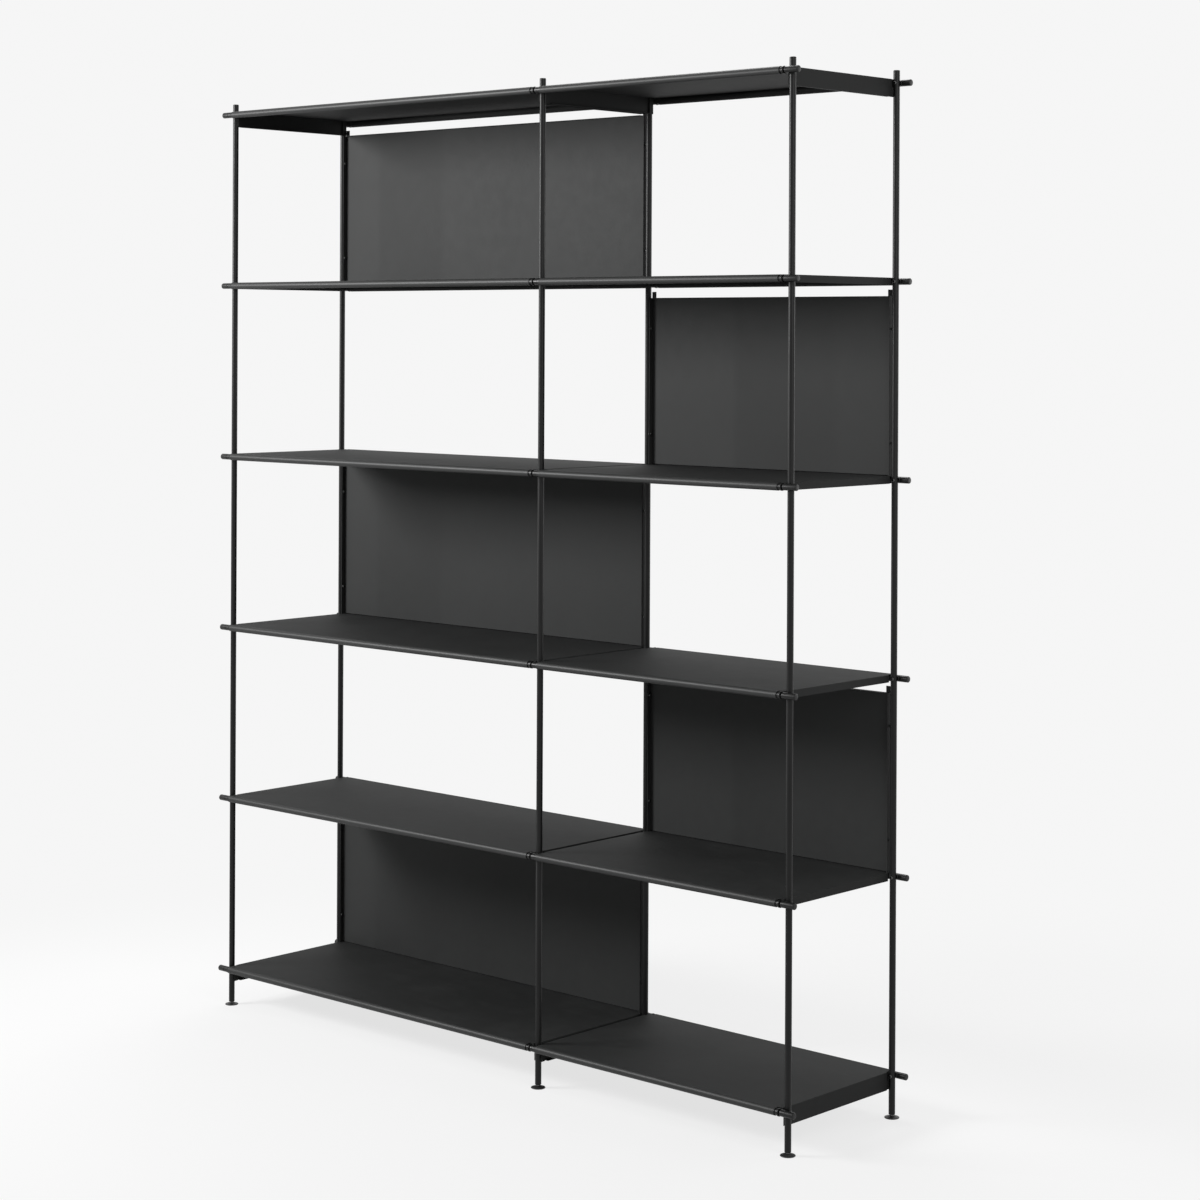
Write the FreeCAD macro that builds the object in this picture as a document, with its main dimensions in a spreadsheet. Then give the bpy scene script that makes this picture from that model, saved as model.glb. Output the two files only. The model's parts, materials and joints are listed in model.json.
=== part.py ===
import FreeCAD, Part
import os
import re
import Sketcher
from FreeCAD import Placement, Rotation, Vector

# Double sided library shelving: six round uprights carry six levels of sheet steel trays in two bays.
# X runs along the shelving, -Y is the face with the open compartments, +Z is up, and the floor is Z = 0.
# Each tray's long edges are curled into rolls. At one end of a roll a stub pin crosses the upright; at the
# other end the roll is an open socket with a ring. The stub of one tray plugs into the ring of the next one,
# and a screw through the upright holds each crossing. A cap closes a stub that has no neighbour. The rear edge
# is the front edge turned half round.

LEVELS = 6
DEEP_LEVELS = (1, 6)
PANELS_LEFT = (1, 3, 5)
PANELS_RIGHT = (2, 4)

DIMENSIONS = (
    # The frame
    ("bay_left", "900", "left bay, upright axis to upright axis"),
    ("bay_right", "600", "right bay, upright axis to upright axis"),
    ("depth", "305", "front upright axes to rear upright axes"),
    ("pitch", "362", "one level to the next"),
    ("level_low", "76", "floor to the roll axis of the lowest level"),
    ("top_rise", "23", "upright top above the roll axis of the top level"),
    ("upright_dia", "12", "round steel upright"),
    ("upright_lift", "6.5", "floor to the lower end of an upright"),
    ("top_round", "1.5", "rounding of an upright's top"),
    ("foot_edge", "0.5", "chamfer at an upright's lower end"),
    # Pins, rings and screws at the crossings
    ("pin_dia", "12", "stubs and end pins where they cross an upright"),
    ("seat_depth", "0.3", "how deep a pin sits in its upright"),
    ("pin_neck", "6.45", "upright axis to the pin's shoulder, where a cap's rim meets it"),
    ("neck_edge", "0.65", "chamfers of the shoulder and of a cap's rim"),
    ("spigot_dia", "10", "pin's spigot inside a ring or a cap"),
    ("spigot_reach", "22.5", "upright axis to the spigot's tip"),
    ("spigot_edge", "1", "chamfer of the spigot's tip"),
    ("groove_dia", "8.6", "groove between a pin's shoulder and the ring"),
    ("cap_reach", "24.5", "upright axis to the tip of a free stub's cap"),
    ("cap_space", "0.3", "room past the spigot's tip inside its cap"),
    ("tip_round", "1.4", "rounding of a cap's and of an end pin's tip"),
    ("tip_cut", "0.4", "middle of that rounding, from both of its faces"),
    ("collar_start", "4.5", "upright axis to the stub's collar"),
    ("collar_round", "1.3", "rounding of the collar"),
    ("collar_cut", "0.4", "middle of the collar's rounding, from both of its faces"),
    ("shank_grip", "30", "stub shank inside its roll"),
    ("end_run", "23", "end pin's tip beyond the upright axis"),
    ("sleeve_grip", "14", "socket ring's sleeve inside the roll"),
    ("waist", "5.5", "bare sleeve between the roll and the ring"),
    ("waist_thin", "0.4", "how much the bare sleeve is turned down"),
    ("ring_wide", "3.2", "width of the ring"),
    ("ring_edge", "0.5", "chamfer of the ring"),
    ("pin_fit", "0.05", "radial clearance of a spigot in its ring or cap"),
    ("screw_dia", "4", "screws, and their tapped holes"),
    ("screw_fit", "0.1", "radial clearance of the screw in the upright"),
    ("head_dia", "7", "screw heads"),
    ("head_high", "2.2", "screw heads"),
    ("head_round", "0.9", "rounding of a screw head"),
    ("key_wide", "2.5", "hexagon key across flats"),
    ("key_deep", "1.2", "depth of the hexagon recess"),
    ("spot_dia", "7.6", "flat spot under a screw head"),
    ("spot_depth", "1.2", "flat spot cut into the upright"),
    ("cross_screw", "16", "screw through an upright into a pin"),
    ("tap_past", "1.5", "tapped hole past the pin's axis"),
    ("panel_screw", "8", "screw from a panel into an upright"),
    # Trays
    ("sheet", "1", "sheet steel of trays and panels"),
    ("tray_end", "5", "upright axis to a tray's end face"),
    ("notch_long", "8", "upright axis to the notch's side, and to the roll's stub end"),
    ("notch_deep", "8", "upright axis to the notch's back"),
    ("socket_end", "17.5", "upright axis to the roll's open end"),
    ("socket_back", "4", "tray edge behind the ring, outward of the upright axes"),
    ("guard_deep", "8", "strip folded down along the tray edge behind the ring"),
    ("flange_short", "13.5", "end flange of the four middle levels"),
    ("flange_deep", "32.5", "end flange of the top and bottom levels"),
    ("return_out", "1.5", "return strip of a deep flange, outward of the upright axes"),
    ("lip", "8", "lip turned in at the foot of a deep flange"),
    ("lip_inset", "5", "lip's end short of the flange's end"),
    ("bend", "0.9", "outside radius of a fold"),
    ("seam_near", "2.6", "curl's seam, near side from the roll axis"),
    ("seam_far", "7.3", "curl's seam, far side from the roll axis"),
    ("seam_high", "2", "opening of the seam under the tray"),
    # Rear panels
    ("panel_side", "8.5", "upright axis to a panel's side"),
    ("panel_back", "3", "panel's rear face outward of the upright axes"),
    ("panel_fold", "10", "folds along a panel's sides and top"),
    ("panel_drop", "26.5", "roll axis above a panel to the panel's top edge"),
    ("panel_slot", "1.5", "slot between the sheet and the tray below it"),
    ("tab_wide", "10", "tabs at a panel's top corners"),
    ("tab_high", "12", "tabs at a panel's top corners"),
    ("panel_hole", "60", "screw height from a panel's foot and from its top"),
    ("panel_hole_in", "4.5", "screw axis from a panel's rear face"),
    # Levelling feet
    ("pad_dia", "27.5", "foot pad"),
    ("pad_high", "4.5", "foot pad at its neck"),
    ("pad_rim", "1.4", "foot pad at its rim"),
    ("pad_bevel", "0.8", "bevel over the rim"),
    ("pad_neck_dia", "11", "top of the pad's cone"),
    ("pad_neck_bevel", "0.5", "bevel round the top of the cone"),
    ("pad_edge", "0.5", "chamfer under the rim"),
    ("pad_floor", "1.2", "pad left under the stud"),
    ("stud_dia", "6", "levelling stud"),
    ("stud_fit", "0.05", "radial clearance of the stud"),
    ("stud_grip", "20", "stud inside the upright"),
    ("stud_edge", "0.6", "chamfer of the stud"),
    ("bore_deep", "23", "bore in the upright's lower end"),
)

DERIVED = (
    ("rail_out", "upright_dia / 2 + pin_dia / 2 - seat_depth", "upright axis to roll axis"),
    ("rail_off", "depth / 2 + rail_out", "centre line to roll axis"),
    ("column_off", "depth / 2", "centre line to upright axes"),
    ("axis_left", "-(bay_left + bay_right) / 2", "left uprights"),
    ("axis_mid", "axis_left + bay_left", "middle uprights"),
    ("axis_right", "axis_mid + bay_right", "right uprights"),
    ("roll_dia", "pin_dia + 2 * sheet", "curled long edges"),
    ("ring_start", "socket_end - waist", "upright axis to the ring's far side"),
    ("ring_stop", "ring_start - ring_wide", "upright axis to the ring's near side"),
    ("ring_bore", "spigot_dia + 2 * pin_fit", "inside of the ring and of a cap"),
    ("upright_high", "level_low + top_rise + pitch * 5 - upright_lift", "length of an upright"),
    ("panel_high", "pitch - roll_dia / 2 - panel_drop", "height of a panel"),
)

doc = FreeCAD.newDocument("library_shelving")
dims = doc.addObject("Spreadsheet::Sheet", "Dims")


def fill_sheet():
    """Write the driving sizes as plain numbers and the derived ones as formulas."""
    row = 1
    for name, value, note in DIMENSIONS:
        dims.set("A%d" % row, name)
        dims.set("B%d" % row, value)
        dims.set("C%d" % row, note)
        dims.setAlias("B%d" % row, name)
        row += 1
    for name, formula, note in DERIVED:
        dims.set("A%d" % row, name)
        dims.set("B%d" % row, "=" + formula)
        dims.set("C%d" % row, note)
        dims.setAlias("B%d" % row, name)
        row += 1
    doc.recompute()


def ref(text):
    """Name the sheet in front of every size in an expression."""
    return re.sub(r"[a-z][a-z_]+\b(?!\()", lambda hit: "Dims." + hit.group(0), text)


def val(text):
    """Value of an expression of sheet sizes."""
    return float(dims.evalExpression(text))


def minus(text):
    """The same expression with its sign turned."""
    return "-(%s)" % text


def level_axis(level):
    """Height of a level's roll axes; level 1 is the top one."""
    return "level_low + %d * pitch" % (LEVELS - level)


def origin_item(body, role):
    """One of the body's own origin planes or axes."""
    return next(item for item in body.Origin.OriginFeatures if item.Role == role)


def new_body(name):
    """A named body."""
    body = doc.addObject("PartDesign::Body", name)
    body.Label = name
    return body


def place(item, along, across, up, turn=0):
    """Put an object at sheet-driven coordinates, turned about Z."""
    item.Placement = Placement(Vector(), Rotation(Vector(0, 0, 1), turn))
    item.setExpression("Placement.Base.x", ref(along))
    item.setExpression("Placement.Base.y", ref(across))
    item.setExpression("Placement.Base.z", ref(up))


def new_sketch(body, name, role, lift=None):
    """A sketch on one of the body's origin planes, lifted off it where asked."""
    sketch = body.newObject("Sketcher::SketchObject", name)
    sketch.AttachmentSupport = [(origin_item(body, role), "")]
    sketch.MapMode = "FlatFace"
    if lift:
        sketch.setExpression("AttachmentOffset.Base.z", ref(lift))
    return sketch


def tie(sketch, geometry, point, first, second):
    """Dimension a point from the sketch's origin."""
    for kind, text in (("DistanceX", first), ("DistanceY", second)):
        index = sketch.addConstraint(Sketcher.Constraint(kind, -1, 1, geometry, point, val(text)))
        sketch.setExpression("Constraints[%d]" % index, ref(text))


def draw_loop(sketch, corners):
    """A closed loop of straight lines through sheet-driven corners."""
    start = sketch.GeometryCount
    count = len(corners)
    points = [Vector(val(first), val(second), 0) for first, second in corners]
    for index in range(count):
        sketch.addGeometry(Part.LineSegment(points[index], points[(index + 1) % count]))
    for index in range(count):
        after = start + (index + 1) % count
        sketch.addConstraint(Sketcher.Constraint("Coincident", start + index, 2, after, 1))
    for index, (first, second) in enumerate(corners):
        tie(sketch, start + index, 1, first, second)


def draw_box(sketch, low, high, near, far):
    """A rectangle."""
    draw_loop(sketch, ((low, near), (high, near), (high, far), (low, far)))


def draw_circle(sketch, first, second, diameter):
    """A circle."""
    middle = Vector(val(first), val(second), 0)
    index = sketch.addGeometry(Part.Circle(middle, Vector(0, 0, 1), val(diameter) / 2))
    size = sketch.addConstraint(Sketcher.Constraint("Diameter", index, val(diameter)))
    sketch.setExpression("Constraints[%d]" % size, ref(diameter))
    tie(sketch, index, 3, first, second)


def grow(body, kind, sketch, name, ahead, behind=None, flip=False):
    """A Pad or Pocket of a sketch, on one or both sides of its plane."""
    feature = body.newObject("PartDesign::" + kind, name)
    feature.Profile = sketch
    feature.Reversed = flip
    feature.setExpression("Length", ref(ahead))
    if behind:
        feature.SideType = "Two sides"
        feature.setExpression("Length2", ref(behind))
    return feature


def revolve(body, sketch, name, axis):
    """A full revolution about one of the sketch's own axes."""
    feature = body.newObject("PartDesign::Revolution", name)
    feature.Profile = sketch
    feature.ReferenceAxis = (sketch, [axis])
    feature.Angle = 360
    return feature


def dress(body, kind, base, name, size, chosen):
    """A Fillet or Chamfer on the edges whose middle point is chosen."""
    doc.recompute()
    edges = []
    for index, edge in enumerate(base.Shape.Edges):
        middle = edge.valueAt((edge.FirstParameter + edge.LastParameter) / 2)
        if chosen(edge, middle):
            edges.append("Edge%d" % (index + 1))
    feature = body.newObject("PartDesign::" + kind, name)
    feature.Base = (base, edges)
    feature.setExpression("Radius" if kind == "Fillet" else "Size", ref(size))
    body.Tip = feature
    return feature


def near(first, second):
    """True where two coordinates agree."""
    return abs(first - second) < 1e-4


def build_upright(name, along, side, left_panels=(), right_panels=()):
    """Round upright with a seat, a hole and a flat spot for each level's crossing.

    side is -1 at the front and +1 at the rear; the panels named are the ones screwed to this upright.
    """
    body = new_body(name)
    place(body, along, "%d * column_off" % side, "upright_lift")
    section = new_sketch(body, name + "_section", "XY_Plane")
    draw_circle(section, "0", "0", "upright_dia")
    bar = grow(body, "Pad", section, name + "_bar", "upright_high")
    first_crossing = "level_low - upright_lift"
    seat_sketch = new_sketch(body, name + "_seat_sketch", "YZ_Plane")
    draw_circle(seat_sketch, "%d * rail_out" % side, first_crossing, "pin_dia")
    seat = grow(body, "Pocket", seat_sketch, name + "_seat", "upright_dia", "upright_dia")
    hole_sketch = new_sketch(body, name + "_hole_sketch", "XZ_Plane")
    draw_circle(hole_sketch, "0", first_crossing, "screw_dia + 2 * screw_fit")
    hole = grow(body, "Pocket", hole_sketch, name + "_hole", "upright_dia", "upright_dia")
    spot_lift = "%d * (upright_dia / 2 - spot_depth)" % side
    spot_sketch = new_sketch(body, name + "_spot_sketch", "XZ_Plane", spot_lift)
    draw_circle(spot_sketch, "0", first_crossing, "spot_dia")
    spot = grow(body, "Pocket", spot_sketch, name + "_spot", "upright_dia", flip=(side > 0))
    rows = body.newObject("PartDesign::LinearPattern", name + "_levels")
    rows.Originals = [seat, hole, spot]
    rows.Direction = (origin_item(body, "Z_Axis"), [""])
    rows.setExpression("Length", ref("%d * pitch" % (LEVELS - 1)))
    rows.Occurrences = LEVELS
    body.Tip = rows
    bore_sketch = new_sketch(body, name + "_bore_sketch", "XY_Plane")
    draw_circle(bore_sketch, "0", "0", "stud_dia + 2 * stud_fit")
    last = grow(body, "Pocket", bore_sketch, name + "_bore", "bore_deep", flip=True)
    for panels, turned in ((left_panels, False), (right_panels, True)):
        if panels:
            tap_sketch = new_sketch(body, "%s_tap_sketch_%d" % (name, turned), "YZ_Plane")
            for panel in panels:
                foot = "%s + roll_dia / 2 - upright_lift" % level_axis(panel + 1)
                inset = "panel_back - panel_hole_in"
                draw_circle(tap_sketch, inset, foot + " + panel_hole", "screw_dia")
                draw_circle(tap_sketch, inset, foot + " + panel_high - panel_hole", "screw_dia")
            last = grow(body, "Pocket", tap_sketch, "%s_tap_%d" % (name, turned), "upright_dia", flip=turned)
    top = val("upright_high")
    rounded = dress(body, "Fillet", last, name + "_top", "top_round", lambda edge, middle: near(middle.z, top))
    dress(body, "Chamfer", rounded, name + "_foot", "foot_edge",
          lambda edge, middle: near(middle.z, 0) and edge.BoundBox.XLength > val("stud_dia") + 1)
    return body


def build_tray(name, bay, middle, level):
    """Sheet steel tray: plane, folded end flanges and two curled edges with their seams.

    The body's origin is the middle of the plane's upper face.
    """
    deep = level in DEEP_LEVELS
    body = new_body(name)
    place(body, middle, "0", level_axis(level) + " + roll_dia / 2")
    end = "%s / 2 - tray_end" % bay
    notch = "%s / 2 - notch_long" % bay
    socket = "%s / 2 - socket_end" % bay
    back = "column_off - notch_deep"
    edge_line = "column_off + socket_back"
    half = [
        (minus(end), minus(back)),
        (minus(notch), minus(back)),
        (minus(notch), minus("rail_off")),
        (socket, minus("rail_off")),
        (socket, minus(edge_line)),
        (notch, minus(edge_line)),
        (notch, minus(back)),
        (end, minus(back)),
    ]
    outline = half + [(minus(first), minus(second)) for first, second in half]
    plane_sketch = new_sketch(body, name + "_outline", "XY_Plane")
    draw_loop(plane_sketch, outline)
    grow(body, "Pad", plane_sketch, name + "_plane", "sheet", flip=True)

    wall_sketch = new_sketch(body, name + "_wall_sketch", "XY_Plane")
    for turned in (False, True):
        if deep:
            strip = "column_off + return_out"
            outer = [(notch, minus(strip)), (notch, minus(back)), (end, minus(back))]
            outer += [(first, back if second == minus(back) else strip) for first, second in reversed(outer)]
            inner = [(notch + " - sheet", strip), (notch + " - sheet", back + " - sheet"),
                     (end + " - sheet", back + " - sheet")]
            inner += [(first, minus(second)) for first, second in reversed(inner)]
            corners = outer + inner
        else:
            corners = [(end + " - sheet", minus(back)), (end, minus(back)), (end, back), (end + " - sheet", back)]
        if turned:
            corners = [(minus(first), second) for first, second in corners]
        draw_loop(wall_sketch, corners)
    depth = "flange_deep" if deep else "flange_short"
    grow(body, "Pad", wall_sketch, name + "_walls", depth, flip=True)
    if deep:
        lip_sketch = new_sketch(body, name + "_lip_sketch", "XY_Plane", "-flange_deep")
        inset = back + " - lip_inset"
        draw_box(lip_sketch, end + " - lip", end, minus(inset), inset)
        draw_box(lip_sketch, minus(end), minus(end + " - lip"), minus(inset), inset)
        grow(body, "Pad", lip_sketch, name + "_lips", "sheet")

    guard_sketch = new_sketch(body, name + "_guard_sketch", "XY_Plane")
    guard = [
        (socket, minus(edge_line)),
        (notch, minus(edge_line)),
        (notch, minus(back)),
        (end, minus(back)),
        (end, minus(back + " - sheet")),
        (notch + " - sheet", minus(back + " - sheet")),
        (notch + " - sheet", minus(edge_line + " - sheet")),
        (socket, minus(edge_line + " - sheet")),
    ]
    draw_loop(guard_sketch, guard)
    draw_loop(guard_sketch, [(minus(first), minus(second)) for first, second in guard])
    grow(body, "Pad", guard_sketch, name + "_guards", "guard_deep", flip=True)

    for side, ahead, behind in ((-1, socket, notch), (1, notch, socket)):
        tag = "front" if side < 0 else "rear"
        across = "%d * rail_off" % side
        curl_sketch = new_sketch(body, "%s_%s_curl_sketch" % (name, tag), "YZ_Plane")
        draw_circle(curl_sketch, across, "-roll_dia / 2", "roll_dia")
        draw_circle(curl_sketch, across, "-roll_dia / 2", "pin_dia")
        grow(body, "Pad", curl_sketch, "%s_%s_curl" % (name, tag), ahead, behind)
        seam_sketch = new_sketch(body, "%s_%s_seam_sketch" % (name, tag), "YZ_Plane")
        draw_box(seam_sketch, "%d * (rail_off - seam_near)" % side, "%d * (rail_off - seam_far)" % side,
                 "-sheet - seam_high", "-sheet")
        last = grow(body, "Pocket", seam_sketch, "%s_%s_seam" % (name, tag), bay, bay)
    far = val(end)
    dress(body, "Fillet", last, name + "_folds", "bend",
          lambda edge, middle: near(middle.z, 0) and near(abs(middle.x), far) and edge.Length > val("depth") / 2)
    return body


def build_panel(name, left, right, compartment):
    """Folded rear panel between two rear uprights, standing on the tray below it."""
    body = new_body(name)
    width = "%s - %s - 2 * panel_side" % (right, left)
    middle = "(%s + %s) / 2" % (right, left)
    place(body, middle, "column_off + panel_back", level_axis(compartment + 1) + " + roll_dia / 2")
    half = "(%s) / 2" % width
    face_sketch = new_sketch(body, name + "_face_sketch", "XZ_Plane")
    draw_loop(face_sketch, (
        (minus(half), "panel_slot"),
        (half, "panel_slot"),
        (half, "panel_high + tab_high"),
        (half + " - tab_wide", "panel_high + tab_high"),
        (half + " - tab_wide", "panel_high"),
        (minus(half) + " + tab_wide", "panel_high"),
        (minus(half) + " + tab_wide", "panel_high + tab_high"),
        (minus(half), "panel_high + tab_high"),
    ))
    grow(body, "Pad", face_sketch, name + "_face", "sheet")
    side_sketch = new_sketch(body, name + "_side_sketch", "XY_Plane")
    draw_box(side_sketch, minus(half), minus(half) + " + sheet", "-panel_fold", "0")
    draw_box(side_sketch, half + " - sheet", half, "-panel_fold", "0")
    grow(body, "Pad", side_sketch, name + "_sides", "panel_high")
    top_sketch = new_sketch(body, name + "_top_sketch", "XY_Plane", "panel_high - sheet")
    draw_box(top_sketch, minus(half) + " + tab_wide", half + " - tab_wide", "-panel_fold", "0")
    grow(body, "Pad", top_sketch, name + "_top", "sheet")
    hole_sketch = new_sketch(body, name + "_hole_sketch", "YZ_Plane")
    draw_circle(hole_sketch, "-panel_hole_in", "panel_hole", "screw_dia")
    draw_circle(hole_sketch, "-panel_hole_in", "panel_high - panel_hole", "screw_dia")
    holes = grow(body, "Pocket", hole_sketch, name + "_holes", width, width)
    reach = val(half)
    dress(body, "Fillet", holes, name + "_folds", "bend",
          lambda edge, middle: near(middle.y, 0) and near(abs(middle.x), reach) and edge.Length > val("pitch") / 2)
    return body


# Profile of a pin's spigot, of its groove beside the ring and of its shoulder, along and off the pin's axis.
SPIGOT = (
    ("-spigot_reach", "0"),
    ("-spigot_reach", "spigot_dia / 2 - spigot_edge"),
    ("-spigot_reach + spigot_edge", "spigot_dia / 2"),
    ("-ring_stop", "spigot_dia / 2"),
    ("-ring_stop", "groove_dia / 2"),
    ("-pin_neck", "groove_dia / 2"),
    ("-pin_neck", "pin_dia / 2 - neck_edge"),
    ("-pin_neck + neck_edge", "pin_dia / 2"),
)


def build_stub():
    """Stub pin: collar and shank for its own roll, a pin that crosses the upright, and a spigot."""
    body = new_body("stub_master")
    profile = new_sketch(body, "stub_profile", "XY_Plane")
    draw_loop(profile, SPIGOT + (
        ("collar_start", "pin_dia / 2"),
        ("collar_start", "roll_dia / 2 - collar_round"),
        ("collar_start + collar_cut", "roll_dia / 2 - collar_cut"),
        ("collar_start + collar_round", "roll_dia / 2"),
        ("notch_long", "roll_dia / 2"),
        ("notch_long", "pin_dia / 2"),
        ("notch_long + shank_grip", "pin_dia / 2"),
        ("notch_long + shank_grip", "0"),
    ))
    revolve(body, profile, "stub_turned", "H_Axis")
    tap_pin(body, "stub")
    return body


def tap_pin(body, name):
    """Tapped hole for the crossing's screw, from the side that faces the upright."""
    sketch = new_sketch(body, name + "_tap_sketch", "XZ_Plane")
    draw_circle(sketch, "0", "0", "screw_dia")
    return grow(body, "Pocket", sketch, name + "_tap", "pin_dia", "tap_past")


def build_end_pin():
    """End pin with a rounded tip, whose spigot fills the last socket of a row."""
    body = new_body("end_pin_master")
    profile = new_sketch(body, "end_pin_profile", "XY_Plane")
    draw_loop(profile, SPIGOT + (
        ("end_run - tip_round", "pin_dia / 2"),
        ("end_run - tip_cut", "pin_dia / 2 - tip_cut"),
        ("end_run", "pin_dia / 2 - tip_round"),
        ("end_run", "0"),
    ))
    revolve(body, profile, "end_pin_turned", "H_Axis")
    tap_pin(body, "end_pin")
    return body


def build_cap():
    """Cap over the spigot of a stub that has no neighbour, flush with the pin."""
    body = new_body("cap_master")
    profile = new_sketch(body, "cap_profile", "XY_Plane")
    draw_loop(profile, (
        ("-cap_reach", "0"),
        ("-cap_reach", "pin_dia / 2 - tip_round"),
        ("-cap_reach + tip_cut", "pin_dia / 2 - tip_cut"),
        ("-cap_reach + tip_round", "pin_dia / 2"),
        ("-pin_neck - neck_edge", "pin_dia / 2"),
        ("-pin_neck", "pin_dia / 2 - neck_edge"),
        ("-pin_neck", "ring_bore / 2"),
        ("-spigot_reach - cap_space", "ring_bore / 2"),
        ("-spigot_reach - cap_space", "0"),
    ))
    revolve(body, profile, "cap_turned", "H_Axis")
    return body


def build_ring():
    """Socket ring: a sleeve pressed into the roll, a bare waist and the ring."""
    body = new_body("ring_master")
    profile = new_sketch(body, "ring_profile", "XY_Plane")
    draw_loop(profile, (
        ("-socket_end - sleeve_grip", "ring_bore / 2"),
        ("-socket_end - sleeve_grip", "pin_dia / 2"),
        ("-socket_end", "pin_dia / 2"),
        ("-socket_end", "pin_dia / 2 - waist_thin"),
        ("-ring_start", "pin_dia / 2 - waist_thin"),
        ("-ring_start", "roll_dia / 2 - ring_edge"),
        ("-ring_start + ring_edge", "roll_dia / 2"),
        ("-ring_stop - ring_edge", "roll_dia / 2"),
        ("-ring_stop", "roll_dia / 2 - ring_edge"),
        ("-ring_stop", "ring_bore / 2"),
    ))
    revolve(body, profile, "ring_turned", "H_Axis")
    return body


def build_screw(name, length):
    """Button head screw with a hexagon recess; the head's seat is at the body's origin, shank to -Y."""
    body = new_body(name)
    profile = new_sketch(body, name + "_profile", "XY_Plane")
    draw_loop(profile, (
        ("0", minus(length)),
        ("screw_dia / 2", minus(length)),
        ("screw_dia / 2", "0"),
        ("head_dia / 2", "0"),
        ("head_dia / 2", "head_high - head_round"),
        ("head_dia / 2 - head_round", "head_high"),
        ("0", "head_high"),
    ))
    revolve(body, profile, name + "_turned", "V_Axis")
    recess_sketch = new_sketch(body, name + "_recess_sketch", "XZ_Plane", "-head_high")
    corner = "key_wide / sqrt(3)"
    flat = "key_wide / 2"
    draw_loop(recess_sketch, (
        (corner, "0"),
        (corner + " / 2", flat),
        (minus(corner + " / 2"), flat),
        (minus(corner), "0"),
        (minus(corner + " / 2"), minus(flat)),
        (corner + " / 2", minus(flat)),
    ))
    grow(body, "Pocket", recess_sketch, name + "_recess", "key_deep", flip=True)
    return body


def build_foot_pad():
    """Round foot pad with a blind bore for the stud."""
    body = new_body("pad_master")
    profile = new_sketch(body, "pad_profile", "XZ_Plane")
    bore = "stud_dia / 2 + stud_fit"
    draw_loop(profile, (
        ("0", "0"),
        ("pad_dia / 2 - pad_edge", "0"),
        ("pad_dia / 2", "pad_edge"),
        ("pad_dia / 2", "pad_rim"),
        ("pad_dia / 2 - pad_bevel", "pad_rim + pad_bevel"),
        ("pad_neck_dia / 2 + pad_neck_bevel", "pad_high - pad_neck_bevel"),
        ("pad_neck_dia / 2 - pad_neck_bevel", "pad_high"),
        (bore, "pad_high"),
        (bore, "pad_floor"),
        ("0", "pad_floor"),
    ))
    revolve(body, profile, "pad_turned", "V_Axis")
    return body


def build_stud():
    """Levelling stud, from the pad's bore into the upright."""
    body = new_body("stud_master")
    profile = new_sketch(body, "stud_profile", "XZ_Plane")
    top = "upright_lift + stud_grip"
    draw_loop(profile, (
        ("0", "pad_floor"),
        ("stud_dia / 2 - stud_edge", "pad_floor"),
        ("stud_dia / 2", "pad_floor + stud_edge"),
        ("stud_dia / 2", top + " - stud_edge"),
        ("stud_dia / 2 - stud_edge", top),
        ("0", top),
    ))
    revolve(body, profile, "stud_turned", "V_Axis")
    return body


def copies(name, master, places):
    """Identical pieces at their places, as one named object of separate solids."""
    links = []
    for index, (along, across, up, turn) in enumerate(places):
        link = doc.addObject("App::Link", "%s_place_%d" % (name, index + 1))
        link.LinkedObject = master
        place(link, along, across, up, turn)
        links.append(link)
    group = doc.addObject("Part::Compound", name)
    group.Label = name
    group.Links = links
    return group


def crossing_screws(side, turn):
    """Places of the screws through one row of uprights."""
    seat = "%d * (column_off - upright_dia / 2 + spot_depth)" % side
    places = []
    for level in range(1, LEVELS + 1):
        for along in ("axis_left", "axis_mid", "axis_right"):
            places.append((along, seat, level_axis(level), turn))
    return places


def panel_screws():
    """Places of the screws that hold the rear panels to the uprights."""
    places = []
    across = "column_off + panel_back - panel_hole_in"
    bays = ((PANELS_LEFT, "axis_left", "axis_mid"), (PANELS_RIGHT, "axis_mid", "axis_right"))
    for compartments, left, right in bays:
        for compartment in compartments:
            foot = level_axis(compartment + 1) + " + roll_dia / 2"
            for up in (foot + " + panel_hole", foot + " + panel_high - panel_hole"):
                places.append((left + " + panel_side + sheet", across, up, -90))
                places.append((right + " - panel_side - sheet", across, up, 90))
    return places


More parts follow.
